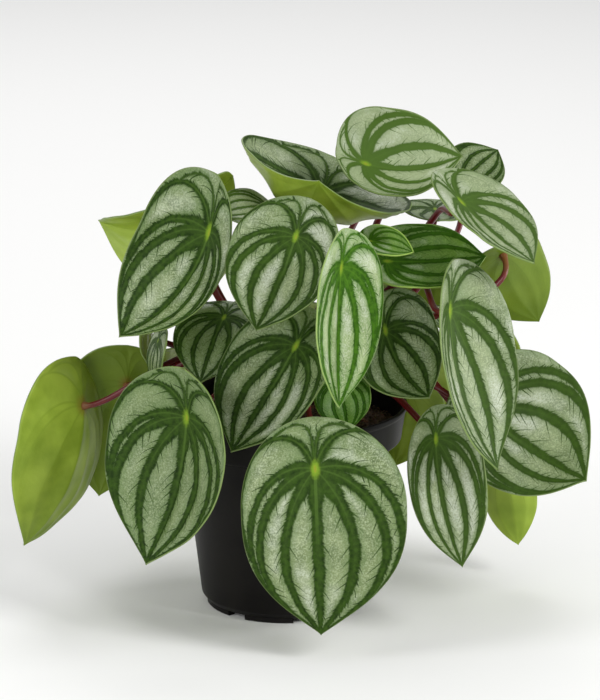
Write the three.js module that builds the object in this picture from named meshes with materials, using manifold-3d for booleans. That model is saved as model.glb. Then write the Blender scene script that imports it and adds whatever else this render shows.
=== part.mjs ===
// A watermelon peperomia in a 12 cm nursery pot, in millimetres, +Z up.
// The origin is the middle of the pot's base, on the surface it stands on.
// The viewer who faces the plant looks along +Y and has +X on the right.
import * as THREE from "three";
import { mergeVertices } from "three/addons/utils/BufferGeometryUtils.js";
import Module from "manifold-3d";

const wasm = await Module();
wasm.setup();

// Driving dimensions of the pot
const POT_HEIGHT = 102;
const RIM_RADIUS = 60;
const COLLAR_HEIGHT = 18;
const COLLAR_FOOT_RADIUS = 57;
const WALL_TOP_RADIUS = 51.5;
const WALL_FOOT_RADIUS = 42;
const WALL = 1.3;
const LIP = 2.2;
const BEAD_HEIGHT = 3;
const BEAD_OUT = 1;
const CORNER = 0.8;
const HEEL = 2.5;
const POT_SIDES = 36;

// Driving dimensions of the pot's underside
const FOOT_HEIGHT = 3;
const FOOT_SINK = 0.5;
const FOOT_OUTER_RADIUS = 39.5;
const FOOT_INNER_RADIUS = 35;
const FOOT_COUNT = 7;
const FOOT_GAP_DEGREES = 15;
const PAD_RADIUS = 15;
const DRAIN_RADIUS = 4;
const DRAIN_CIRCLE = 26;
const ROUND_SIDES = 16;

// Driving dimensions of the soil
const GAP = 0.3;
const SOIL_LEVEL = 89;
const SOIL_CLEARANCE = 0.5;
const SOIL_CROWNING = 0.5;
const SOIL_ROUGHNESS = 1.6;
const SOIL_RINGS = 6;
const SOIL_SIDES = 28;

// Driving dimensions of the crown, the petioles and the blades
const CROWN_RADIUS = 10;
const CROWN_DEPTH = 12;
const CROWN_NECK = 2.5;
const CROWN_RISE = 9;
const PETIOLE_RADIUS = 1.7;
const PETIOLE_SIDES = 5;
const PETIOLE_STEPS = 7;
const STUB = 6;
const PETIOLE_LIFT = 0.4;
const RIM_CLEARANCE = 30;
const OVER_RIM_LIFT = 1.1;
const KNEE_SHARE = 0.25;
const APPROACH_SHARE = 0.3;
const BLADE = 0.9;
const LOBE = 0.233;
const WIDEST_AT = 0.4;

// Colours and surfaces
const potPlastic = new THREE.MeshStandardMaterial({ color: 0x23211f, roughness: 0.5, metalness: 0 });
const pottingSoil = new THREE.MeshStandardMaterial({ color: 0x2e1f19, roughness: 1, metalness: 0 });
const redStalk = new THREE.MeshStandardMaterial({ color: 0x7a1c22, roughness: 0.45, metalness: 0 });
const silverLeaf = new THREE.MeshStandardMaterial({ color: 0x8fa57c, roughness: 0.4, metalness: 0 });
const youngLeaf = new THREE.MeshStandardMaterial({ color: 0x6c9a48, roughness: 0.4, metalness: 0 });

// Every leaf blade: where its petiole meets it (seat), its tip, the way its upper side faces and its full
// width. arch is how far the midrib bows out between seat and tip, cup how far the side edges bend back
// (negative: forward, like a boat), fold the angle that each half is raised along the midrib, bow how far
// the midrib swings to the right, and skew how much the right half is the wider one, as seen from the upper
// side with the tip down. lobe is the share of the blade above its seat. rise and via bend a petiole clear
// of what is in its way.
const leaves = {
  front_big: {
    seat: [14, -95, 96], tip: [17, -100, 15], faces: [-0.03, -0.99, 0.1], wide: 79, arch: 4.3, cup: 3.4,
    skew: 0.09,
  },
  front_left: {
    seat: [-47, -70, 114], tip: [-67, -84, 45], faces: [-0.55, -0.81, 0.2], wide: 71, arch: -6.8,
    cup: -5.8, fold: 9, bow: 0.9, skew: -0.11, lobe: 0.26,
  },
  left_high: {
    seat: [-37, -22, 193], tip: [-80, -51, 149], faces: [-0.19, -0.89, 0.42], wide: 51, arch: -6.1,
    cup: -5.4, fold: 8, bow: 6.3, skew: -0.38, lobe: 0.27,
  },
  centre_high: {
    seat: [5, -46, 197], tip: [-14, -70, 157], faces: [-0.42, -0.81, 0.4], wide: 60, arch: -2.6, cup: -4.2,
    fold: 8, lobe: 0.28,
  },
  centre_low: {
    seat: [5, -50, 144], tip: [-26, -74, 98], faces: [-0.45, -0.73, 0.52], wide: 60, arch: -1.3, cup: -4.2,
    fold: 7, lobe: 0.25,
  },
  centre_narrow: {
    seat: [26, -82, 191], tip: [25, -95, 126], faces: [0.78, -0.6, 0.18], wide: 54, arch: -0.5, cup: -0.5,
    fold: 18, bow: -1.6, skew: -0.06, lobe: 0.22, via: [[16, -14, 130], [28, -34, 160], [33, -62, 172]],
  },
  top: {
    seat: [39, 5, 221], tip: [86, -3, 227], faces: [0, -0.79, 0.62], wide: 52, arch: -1.6, cup: -9.2,
    fold: 10, bow: -4.3, skew: 0.2, via: [[26, 36, 140], [48, 62, 184], [54, 46, 210]],
  },
  top_boat: {
    seat: [17, 39, 197], tip: [16, -34, 222], faces: [0.38, 0.25, 0.89], wide: 104, arch: -17.6,
    cup: -17.1, fold: 11, lobe: 0.22,
  },
  right_high: {
    seat: [84, -43, 213], tip: [118, -66, 189], faces: [0.67, -0.38, 0.64], wide: 53, arch: -1.9,
    cup: -2.1, fold: 5, skew: 0.28, lobe: 0.3, via: [[28, -4, 150], [64, 2, 184], [75, -12, 202]],
  },
  right_narrow: {
    seat: [78, -63, 165], tip: [101, -84, 92], faces: [0.82, -0.51, 0.28], wide: 57, arch: -5.2, cup: -9.2,
    fold: 5, bow: -2.9, skew: 0.26, via: [[26, -6, 135], [62, -20, 172]],
  },
  right_wide: {
    seat: [95, -25, 104], tip: [146, -45, 75], faces: [0.19, -0.9, 0.4], wide: 70, arch: -7.8, cup: -3.5,
    skew: 0.22,
  },
  right_low: {
    seat: [72, -61, 101], tip: [85, -76, 41], faces: [0.05, -0.98, 0.2], wide: 39, arch: 0.5, cup: -5.1,
    bow: -3, skew: 0.22, lobe: 0.2,
  },
  right_inner: {
    seat: [48, -41, 149], tip: [69, -60, 121], faces: [0.19, -0.86, 0.47], wide: 47, arch: -4.6, cup: -6.1,
    bow: -2.3, skew: 0.08, lobe: 0.31,
  },
  right_mid: {
    seat: [49, -30, 181], tip: [97, -24, 182], faces: [0.1, -0.73, 0.67], wide: 40, arch: 1.3, cup: -7.5,
    fold: 2, bow: -2.1, skew: -0.05, lobe: 0.19, via: [[20, -4, 130], [42, -8, 165]],
  },
  young: {
    seat: [41, -42, 194], tip: [61, -60, 193], faces: [0.21, -0.89, 0.4], wide: 20, arch: -0.5, cup: -2.8,
    fold: 22, bow: 0.6, skew: -0.09, via: [[18, -14, 140], [28, -28, 178]],
  },
  front_small: {
    seat: [26, -50, 126], tip: [30, -58, 104], faces: [0, -0.9, 0.4], wide: 28, arch: 2,
    cup: -2,
  },
  left_inner: {
    seat: [-30, -19, 150], tip: [-41, -44, 124], faces: [-0.3, -0.8, 0.5], wide: 42, arch: 2, cup: -3,
  },
  left_edge: {
    seat: [-62, -21, 139], tip: [-64, -24, 115], faces: [-0.97, -0.24, 0.08], wide: 33, arch: 1.5,
    cup: -1.7, fold: -7,
  },
  left_top_inner: {
    seat: [-8, 0, 200], tip: [-33, -19, 201], faces: [-0.27, -0.59, 0.76], wide: 28, arch: 2.4, cup: -3.3,
    fold: -5, lobe: 0.2,
  },
  far_left: {
    seat: [-100, 0, 100], tip: [-130, -10, 31], faces: [-0.73, 0.62, 0.29], wide: 68, arch: -7.6, cup: -5,
    fold: 8, bow: -3.9, skew: 0.14,
  },
  left_back_low: {
    seat: [-80, 38, 100], tip: [-95, 43, 40], faces: [-0.28, 0.93, 0.22], wide: 59, arch: 2.9, cup: 0.5,
    bow: -3.2, skew: 0.13, lobe: 0.28,
  },
  left_back_high: {
    seat: [-47, 11, 194], tip: [-93, 34, 186], faces: [0.18, 0.93, 0.32], wide: 53, arch: -2.9, cup: 3.1,
    fold: -33, bow: -5.1, skew: -0.07, lobe: 0.34,
  },
  top_back: {
    seat: [46, 74, 193], tip: [18, 78, 198], faces: [-0.1, 0.8, 0.5], wide: 30, arch: 2,
    cup: -3,
  },
  top_under: {
    seat: [74, 40, 190], tip: [75, 4, 193], faces: [0.05, -0.15, 1], wide: 36, arch: -2, cup: -4,
    via: [[34, 16, 130], [64, 32, 168]],
  },
  right_top_back: {
    seat: [88, 70, 197], tip: [107, 85, 210], faces: [-0.1, -0.8, 0.6], wide: 32, arch: 1.5, cup: -2,
    lobe: 0.2, via: [[46, 26, 130], [74, 38, 162], [87, 62, 176]],
  },
  right_back_low: {
    seat: [110, 18, 64], tip: [117, 28, 19], faces: [0.1, 0.97, 0.2], wide: 34, arch: 1, cup: -7.3,
    fold: 5, skew: 0.17, lobe: 0.2,
  },
  right_back_high: {
    seat: [107, 18, 172], tip: [126, 30, 135], faces: [-0.21, 0.93, 0.31], wide: 45, arch: 3.6, cup: -6.9,
    bow: 3.5, lobe: 0.17,
  },
  pot_side_right: {
    seat: [62, 42, 95], tip: [55, 52, 53], faces: [0.3, 0.9, 0.2], wide: 38, arch: 3, cup: -3, rise: 100,
  },
  back_top: { seat: [8, 62, 168], tip: [6, 98, 128], faces: [0, 0.8, 0.5], wide: 54, arch: 5, cup: -4 },
  back_left_top: {
    seat: [-40, 64, 160], tip: [-62, 90, 118], faces: [-0.4, 0.8, 0.45], wide: 52, arch: 5, cup: -4,
  },
  back_right_top: {
    seat: [62, 58, 160], tip: [66, 88, 118], faces: [0.3, 0.8, 0.45], wide: 48, arch: 5, cup: -4,
  },
  back_middle: {
    seat: [-6, 82, 124], tip: [-10, 106, 66], faces: [-0.05, 0.95, 0.3], wide: 60, arch: 6, cup: -5,
  },
  back_left: {
    seat: [-62, 76, 100], tip: [-72, 94, 42], faces: [-0.5, 0.8, 0.3], wide: 58, arch: 6,
    cup: -5,
  },
  back_right: {
    seat: [56, 80, 108], tip: [60, 104, 48], faces: [0.3, 0.9, 0.3], wide: 58, arch: 6,
    cup: -5,
  },
  back_high: { seat: [-10, 50, 182], tip: [-16, 90, 168], faces: [0, 0.3, 1], wide: 50, arch: 4, cup: -4 },
  right_back: {
    seat: [88, 52, 130], tip: [104, 68, 84], faces: [0.6, 0.7, 0.3], wide: 50, arch: 5,
    cup: -4,
  },
  right_side: {
    seat: [80, 10, 134], tip: [94, 14, 90], faces: [0.92, 0.1, 0.38], wide: 48, arch: 5,
    cup: -4,
  },
  left_side: {
    seat: [-60, 20, 154], tip: [-66, 22, 112], faces: [-0.97, 0.12, 0.2], wide: 42, arch: 4,
    cup: -3,
  },
};
const youngLeaves = ["young", "centre_narrow", "right_mid"];

// A closed three.js geometry as a solid
function solidOf(geometry) {
  const bare = geometry.index ? geometry.clone() : geometry;
  bare.deleteAttribute("normal");
  bare.deleteAttribute("uv");
  const merged = mergeVertices(bare, 1e-4);
  return new wasm.Manifold(new wasm.Mesh({
    numProp: 3,
    vertProperties: new Float32Array(merged.attributes.position.array),
    triVerts: new Uint32Array(merged.index.array),
  }));
}

// A solid as a three.js geometry
function geometryOf(solid) {
  const mesh = solid.getMesh();
  const geometry = new THREE.BufferGeometry();
  geometry.setAttribute("position", new THREE.BufferAttribute(new Float32Array(mesh.vertProperties), 3));
  geometry.setIndex(new THREE.BufferAttribute(new Uint32Array(mesh.triVerts), 1));
  return geometry;
}

// A turned shape about +Z from its profile of radius and height
function turned(profile, sides = POT_SIDES) {
  const geometry = new THREE.LatheGeometry(profile.map(([r, z]) => new THREE.Vector2(r, z)), sides);
  geometry.rotateX(Math.PI / 2);
  return geometry;
}

// An upright round rod between two heights
function rod(radius, low, high, x = 0, y = 0) {
  const geometry = new THREE.CylinderGeometry(radius, radius, high - low, ROUND_SIDES);
  geometry.rotateX(Math.PI / 2);
  geometry.translate(x, y, (low + high) / 2);
  return geometry;
}

// The inside of the pot from its floor to its rim, as radius and height
function potInside() {
  const floor = FOOT_HEIGHT + WALL;
  const ledge = POT_HEIGHT - COLLAR_HEIGHT;
  return [
    [WALL_FOOT_RADIUS - WALL - HEEL, floor],
    [WALL_FOOT_RADIUS - WALL, floor + HEEL],
    [WALL_TOP_RADIUS - WALL, ledge + CORNER / 2],
    [COLLAR_FOOT_RADIUS - WALL, ledge + 2 * CORNER],
    [RIM_RADIUS - LIP, POT_HEIGHT],
  ];
}

// The turned body of the pot: a tapering wall with a flared collar and a beaded rim
function potBody() {
  const ledge = POT_HEIGHT - COLLAR_HEIGHT;
  const under = FOOT_HEIGHT - FOOT_SINK;
  const inside = potInside();
  return turned([
    [0, under],
    [FOOT_OUTER_RADIUS, under],
    [WALL_FOOT_RADIUS, FOOT_HEIGHT + HEEL],
    [WALL_TOP_RADIUS, ledge - CORNER],
    [COLLAR_FOOT_RADIUS - CORNER, ledge],
    [COLLAR_FOOT_RADIUS, ledge + CORNER],
    [RIM_RADIUS - BEAD_OUT, POT_HEIGHT - BEAD_HEIGHT],
    [RIM_RADIUS, POT_HEIGHT - BEAD_HEIGHT + BEAD_OUT],
    [RIM_RADIUS - CORNER / 2, POT_HEIGHT],
    ...inside.reverse(),
    [0, FOOT_HEIGHT + WALL],
  ]);
}

// The ring of feet under the pot, broken by gaps that let water out
function potFeet() {
  let feet = solidOf(turned([
    [FOOT_INNER_RADIUS, 0],
    [FOOT_OUTER_RADIUS - CORNER, 0],
    [FOOT_OUTER_RADIUS, CORNER],
    [FOOT_OUTER_RADIUS, FOOT_HEIGHT],
    [FOOT_INNER_RADIUS, FOOT_HEIGHT],
    [FOOT_INNER_RADIUS, 0],
  ]));
  const notchWidth = FOOT_OUTER_RADIUS * THREE.MathUtils.degToRad(FOOT_GAP_DEGREES);
  const notchDepth = 2 * (FOOT_OUTER_RADIUS - FOOT_INNER_RADIUS);
  for (let i = 0; i < FOOT_COUNT; i += 1) {
    const notch = new THREE.BoxGeometry(notchDepth, notchWidth, 2 * (FOOT_HEIGHT - FOOT_SINK));
    notch.translate((FOOT_INNER_RADIUS + FOOT_OUTER_RADIUS) / 2, 0, 0);
    notch.rotateZ(((i + 0.5) / FOOT_COUNT) * 2 * Math.PI);
    feet = feet.subtract(solidOf(notch));
  }
  return feet;
}

// The pot: the body on its feet and a flat middle pad, with drain holes through the floor
function makePot() {
  let pot = solidOf(potBody());
  pot = pot.add(potFeet());
  pot = pot.add(solidOf(rod(PAD_RADIUS, 0, FOOT_HEIGHT)));
  for (let i = 0; i < FOOT_COUNT; i += 1) {
    const angle = (i / FOOT_COUNT) * 2 * Math.PI;
    const x = DRAIN_CIRCLE * Math.cos(angle);
    const y = DRAIN_CIRCLE * Math.sin(angle);
    pot = pot.subtract(solidOf(rod(DRAIN_RADIUS, 0, FOOT_HEIGHT + 2 * WALL, x, y)));
  }
  return geometryOf(pot);
}

// Height of the rough soil surface above its level
function soilBump(x, y) {
  const coarse = Math.sin(0.19 * x + 1.3) * Math.cos(0.17 * y - 0.4);
  const fine = Math.sin(0.43 * x - 0.36 * y) + Math.cos(0.31 * x + 0.47 * y + 2);
  return SOIL_ROUGHNESS * (0.6 * coarse + 0.25 * fine);
}

// The soil: it fills the pot to a rough surface, with a plain hole for the crown
function makeSoil() {
  const wall = potInside().slice(0, -1);
  const edge = wall[wall.length - 1][0] - SOIL_CLEARANCE;
  const profile = [[0, wall[0][1] + GAP]];
  for (const [radius, height] of wall) {
    profile.push([radius - SOIL_CLEARANCE, height + GAP]);
  }
  profile.push([edge, SOIL_LEVEL]);
  for (let i = SOIL_RINGS - 1; i >= 0; i -= 1) {
    profile.push([(edge * i) / SOIL_RINGS, SOIL_LEVEL + SOIL_CROWNING]);
  }
  const geometry = turned(profile, SOIL_SIDES);
  const position = geometry.attributes.position;
  for (let i = 0; i < position.count; i += 1) {
    const height = position.getZ(i);
    if (height > SOIL_LEVEL - GAP) {
      position.setZ(i, height + soilBump(position.getX(i), position.getY(i)));
    }
  }
  const hole = rod(CROWN_RADIUS + GAP, SOIL_LEVEL - CROWN_DEPTH - GAP, POT_HEIGHT);
  return geometryOf(solidOf(geometry).subtract(solidOf(hole)));
}

// Half the blade's width, as a share of its greatest half width, at a share of its length from the base
function outline(along) {
  if (along < WIDEST_AT) {
    return Math.sqrt(Math.max(0, 1 - ((WIDEST_AT - along) / WIDEST_AT) ** 2));
  }
  const past = (along - WIDEST_AT) / (1 - WIDEST_AT);
  return Math.max(0, 1 - past ** 3) ** 1.2;
}

// The leaf's own directions at its seat: to the tip, out of the upper side, and to the side
function leafFrame(leaf) {
  const seat = new THREE.Vector3(...leaf.seat);
  const forward = new THREE.Vector3(...leaf.tip).sub(seat);
  const chord = forward.length();
  forward.normalize();
  const up = new THREE.Vector3(...leaf.faces);
  up.addScaledVector(forward, -up.dot(forward)).normalize();
  const side = new THREE.Vector3().crossVectors(up, forward);
  return { seat, forward, up, side, chord };
}

// The midrib at a share of the blade's length, with the direction out of the blade's upper side there
function midrib(leaf, frame, along) {
  const { arch, bow = 0, lobe = LOBE } = leaf;
  const radius = (frame.chord ** 2 / 4 + arch ** 2) / (2 * arch);
  const half = Math.asin(frame.chord / 2 / radius);
  const share = (along - lobe) / (1 - lobe);
  const angle = half * (2 * share - 1);
  const up = frame.up.clone().multiplyScalar(Math.cos(angle));
  up.addScaledVector(frame.forward, Math.sin(angle));
  const point = frame.seat.clone();
  point.addScaledVector(frame.forward, frame.chord / 2 + radius * Math.sin(angle));
  point.addScaledVector(frame.up, radius * (Math.cos(angle) - Math.cos(half)));
  point.addScaledVector(frame.side, 4 * bow * share * (1 - share));
  return { point, up };
}

// A point of the blade's middle surface: along runs from the base to the tip, across from -1 to 1
function bladePoint(leaf, frame, along, across) {
  const { cup, fold = 0, skew = 0 } = leaf;
  const { point, up } = midrib(leaf, frame, along);
  const way = Math.sign(across);
  const halfWidth = (leaf.wide / 2) * (1 + skew * way);
  const distance = Math.abs(across) * halfWidth * outline(along);
  const bend = (2 * cup) / (leaf.wide / 2) ** 2;
  const reach = Math.sin(bend * distance) / bend;
  const drop = (1 - Math.cos(bend * distance)) / bend;
  const lift = THREE.MathUtils.degToRad(fold);
  const sideways = reach * Math.cos(lift) + drop * Math.sin(lift);
  const upwards = reach * Math.sin(lift) - drop * Math.cos(lift);
  return point.addScaledVector(frame.side, way * sideways).addScaledVector(up, upwards);
}

// The direction out of the blade's upper side
function bladeNormal(leaf, frame, along, across) {
  const step = 0.01;
  const lengthways = bladePoint(leaf, frame, along + step, across);
  lengthways.sub(bladePoint(leaf, frame, along - step, across));
  const sideways = bladePoint(leaf, frame, along, across + step);
  sideways.sub(bladePoint(leaf, frame, along, across - step));
  return new THREE.Vector3().crossVectors(lengthways, sideways).normalize();
}

// Stations along a blade, closer where its outline is round
function bladeStations() {
  const rounded = [25, 45, 65, 90].map((a) => WIDEST_AT * (1 - Math.cos(THREE.MathUtils.degToRad(a))));
  return [...rounded, 0.52, 0.64, 0.75, 0.85, 0.94];
}

// The blade's middle surface as a grid of points between its base and its tip, each with its normal
function bladeGrid(leaf, columns) {
  const frame = leafFrame(leaf);
  const nearEdge = 0.9;
  const nearEnd = 0.02;
  const points = [bladePoint(leaf, frame, 0, 0)];
  const normals = [bladeNormal(leaf, frame, nearEnd, 0)];
  for (const along of bladeStations()) {
    for (const across of columns) {
      points.push(bladePoint(leaf, frame, along, across));
      normals.push(bladeNormal(leaf, frame, along, across * nearEdge));
    }
  }
  points.push(bladePoint(leaf, frame, 1, 0));
  normals.push(bladeNormal(leaf, frame, 1 - nearEnd, 0));
  return { points, normals };
}

// The triangles over the grid and the grid's rim, as numbers of its points
function bladeFaces(rows, columns) {
  const last = rows * columns + 1;
  const at = (row, column) => 1 + row * columns + column;
  const faces = [];
  for (let c = 0; c < columns - 1; c += 1) {
    faces.push([0, at(0, c), at(0, c + 1)]);
    faces.push([last, at(rows - 1, c + 1), at(rows - 1, c)]);
    for (let r = 0; r < rows - 1; r += 1) {
      const [a, b, d, e] = [at(r, c), at(r + 1, c), at(r + 1, c + 1), at(r, c + 1)];
      const leftHalf = c < columns / 2 - 1;
      faces.push(leftHalf ? [a, b, d] : [a, b, e]);
      faces.push(leftHalf ? [a, d, e] : [b, d, e]);
    }
  }
  const order = Array.from({ length: rows }, (_, r) => r);
  const left = order.map((r) => at(r, 0));
  const right = order.map((r) => at(r, columns - 1)).reverse();
  return { faces, rim: [0, ...left, last, ...right] };
}

// A leaf blade: the same grid of triangles on both faces, closed by a wall round its edge
function makeBlade(leaf) {
  const columns = [-1, -0.55, 0, 0.55, 1];
  const { points, normals } = bladeGrid(leaf, columns);
  const count = points.length;
  const positions = [];
  for (const way of [0.5, -0.5]) {
    points.forEach((middle, i) => {
      const point = middle.clone().addScaledVector(normals[i], way * BLADE);
      positions.push(point.x, point.y, point.z);
    });
  }
  const { faces, rim } = bladeFaces(bladeStations().length, columns.length);
  const index = [];
  for (const [a, b, c] of faces) {
    index.push(a, b, c);
    index.push(count + a, count + c, count + b);
  }
  rim.forEach((a, i) => {
    const b = rim[(i + 1) % rim.length];
    index.push(a, count + a, b);
    index.push(b, count + a, count + b);
  });
  const geometry = new THREE.BufferGeometry();
  geometry.setAttribute("position", new THREE.Float32BufferAttribute(positions, 3));
  geometry.setIndex(index);
  return geometry;
}

// The route of a petiole: up from the crown, over the pot's rim, and square on to the underside of its blade
function petioleCurve(leaf) {
  const frame = leafFrame(leaf);
  const normal = bladeNormal(leaf, frame, leaf.lobe ?? LOBE, 0);
  const bentBack = THREE.MathUtils.degToRad(Math.max(0, -(leaf.fold ?? 0)));
  const clearance = BLADE / 2 + GAP + PETIOLE_RADIUS * Math.tan(bentBack);
  const end = frame.seat.clone().addScaledVector(normal, -clearance);
  const out = new THREE.Vector3(end.x, end.y, 0);
  const reach = out.length();
  out.normalize();
  const start = out.clone().multiplyScalar(CROWN_RADIUS / 2).setZ(SOIL_LEVEL + CROWN_RISE / 2);
  if (leaf.via) {
    const stub = end.clone().addScaledVector(normal, -STUB);
    const between = leaf.via.map((point) => new THREE.Vector3(...point));
    return new THREE.CatmullRomCurve3([start, ...between, stub, end], false, "centripetal");
  }
  const span = end.distanceTo(start);
  const overRim = Math.max(0, POT_HEIGHT + RIM_CLEARANCE - end.z);
  const knee = start.clone().addScaledVector(out, KNEE_SHARE * reach);
  knee.z += leaf.rise ?? PETIOLE_LIFT * span + OVER_RIM_LIFT * overRim;
  const approach = end.clone().addScaledVector(normal, -APPROACH_SHARE * span);
  return new THREE.CubicBezierCurve3(start, knee, approach, end);
}

// The round section of a petiole
function petioleSection() {
  const corners = [];
  for (let i = 0; i < PETIOLE_SIDES; i += 1) {
    const angle = (i / PETIOLE_SIDES) * 2 * Math.PI;
    corners.push(new THREE.Vector2(PETIOLE_RADIUS * Math.cos(angle), PETIOLE_RADIUS * Math.sin(angle)));
  }
  return new THREE.Shape(corners);
}

// The crown with all the petioles that grow from it, as one body
function makeCrown() {
  const foot = SOIL_LEVEL - CROWN_DEPTH;
  const top = SOIL_LEVEL + CROWN_RISE;
  const stump = turned([
    [0, foot],
    [CROWN_RADIUS, foot],
    [CROWN_RADIUS, SOIL_LEVEL + CROWN_NECK],
    [0.8 * CROWN_RADIUS, SOIL_LEVEL + 0.7 * CROWN_RISE],
    [0.4 * CROWN_RADIUS, top],
    [0, top],
  ], ROUND_SIDES);
  const section = petioleSection();
  let crown = solidOf(stump);
  for (const leaf of Object.values(leaves)) {
    const steps = leaf.via ? PETIOLE_STEPS * 2 : PETIOLE_STEPS;
    const options = { steps, bevelEnabled: false, extrudePath: petioleCurve(leaf) };
    crown = crown.add(solidOf(new THREE.ExtrudeGeometry(section, options)));
  }
  return geometryOf(crown);
}

function named(name, geometry, material) {
  const mesh = new THREE.Mesh(geometry, material);
  mesh.name = name;
  return mesh;
}

const plant = new THREE.Group();
plant.add(named("pot", makePot(), potPlastic));
plant.add(named("soil", makeSoil(), pottingSoil));
plant.add(named("crown", makeCrown(), redStalk));
for (const [name, leaf] of Object.entries(leaves)) {
  const material = youngLeaves.includes(name) ? youngLeaf : silverLeaf;
  plant.add(named(`leaf_${name}`, makeBlade(leaf), material));
}

export default plant;
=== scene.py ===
# %% [markdown]
# # A watermelon peperomia in its nursery pot
# The plant is a crown of red stalks, each carrying one thick shield-shaped blade, silver between dark green
# bands. It grows in a black plastic pot 12 cm across.
#
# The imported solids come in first. They fix every size and place, and the finer pieces made here stand
# exactly where those solids stand. All sizes are in metres.

# %% Load the frame
import math
import random

import bmesh
import bpy
import numpy as np
from mathutils import Matrix, Vector, noise
from mathutils.geometry import interpolate_bezier


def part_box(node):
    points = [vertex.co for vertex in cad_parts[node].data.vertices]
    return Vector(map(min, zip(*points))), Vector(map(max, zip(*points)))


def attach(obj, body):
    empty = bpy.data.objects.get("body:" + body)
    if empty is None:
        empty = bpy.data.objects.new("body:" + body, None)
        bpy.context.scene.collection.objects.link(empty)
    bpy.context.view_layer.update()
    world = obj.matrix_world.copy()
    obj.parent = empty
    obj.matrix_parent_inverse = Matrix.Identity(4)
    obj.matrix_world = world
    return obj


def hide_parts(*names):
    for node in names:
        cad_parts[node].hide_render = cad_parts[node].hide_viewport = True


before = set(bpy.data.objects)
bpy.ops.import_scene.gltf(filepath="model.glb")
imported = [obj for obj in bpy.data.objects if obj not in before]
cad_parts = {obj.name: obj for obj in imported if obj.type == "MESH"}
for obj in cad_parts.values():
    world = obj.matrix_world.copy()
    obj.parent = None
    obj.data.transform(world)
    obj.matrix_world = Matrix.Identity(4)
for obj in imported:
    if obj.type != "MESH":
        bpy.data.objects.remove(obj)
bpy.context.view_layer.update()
scene = bpy.context.scene
print("Solids in the frame:", len(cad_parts))

# %% [markdown]
# ## Camera, light and floor
# The photograph looks down on the pot by about fifteen degrees, from far enough that the pot's sides stay
# nearly parallel. A long lens far away gives the same flat view.
#
# A product photograph of a plant is lit by large soft boxes against a white background. Here a pale floor
# takes the place of the white, a broad light hangs to the upper right and weaker ones stand in front, at both
# sides and behind. The low ones are there for their sheen on the blades that hang upright.

# %% Place the camera
CAMERA_TILT = math.radians(15.3)
CAMERA_DISTANCE = 2.2
CAMERA_TARGET = Vector((0.0069, 0.0, 0.1285))
PHOTO_HEIGHT = 700
METRES_PER_PIXEL = 0.0004918
SENSOR = 36.0

camera_data = bpy.data.cameras.new("camera")
camera_data.sensor_width = SENSOR
camera_data.lens = SENSOR * CAMERA_DISTANCE / (PHOTO_HEIGHT * METRES_PER_PIXEL)
camera = bpy.data.objects.new("camera", camera_data)
backwards = Vector((0.0, -math.cos(CAMERA_TILT), math.sin(CAMERA_TILT)))
camera.location = CAMERA_TARGET + CAMERA_DISTANCE * backwards
camera.rotation_euler = (math.pi / 2 - CAMERA_TILT, 0.0, 0.0)
scene.collection.objects.link(camera)
scene.camera = camera
print("Lens in millimetres:", round(camera_data.lens))


# %% Hang the lights
WORLD_STRENGTH = 0.5


def soft_light(name, place, size, watts):
    """A square lamp that faces the plant."""
    data = bpy.data.lights.new(name, "AREA")
    data.size = size
    data.energy = watts
    light = bpy.data.objects.new(name, data)
    light.location = place
    aim = CAMERA_TARGET - Vector(place)
    light.rotation_euler = aim.to_track_quat("-Z", "Y").to_euler()
    scene.collection.objects.link(light)


soft_light("key", (1.1, -1.1, 1.2), 0.6, 18.0)
soft_light("front", (-0.5, -1.9, 0.25), 0.4, 6.0)
soft_light("side", (1.6, 0.4, 0.4), 0.6, 9.0)
soft_light("fill", (-1.3, -0.8, 0.8), 0.6, 8.0)
soft_light("back", (-0.3, 1.3, 1.3), 1.0, 8.0)

world = bpy.data.worlds.new("studio")
scene.world = world
world.use_nodes = True
sky = world.node_tree.nodes["Background"]
sky.inputs["Color"].default_value = (1.0, 1.0, 1.0, 1.0)
sky.inputs["Strength"].default_value = WORLD_STRENGTH
scene.view_settings.view_transform = "Standard"
print("Lights:", len(bpy.data.lights))


# %% [markdown]
# ## A small kit for finishes
# A finish is a network of shader nodes. Wiring it by hand takes many lines, so a small class keeps the
# network's nodes and offers the few steps that the finishes below need: arithmetic, smooth steps, colour
# mixes and noise. Each step gives back a socket that the next step can use.

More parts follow.
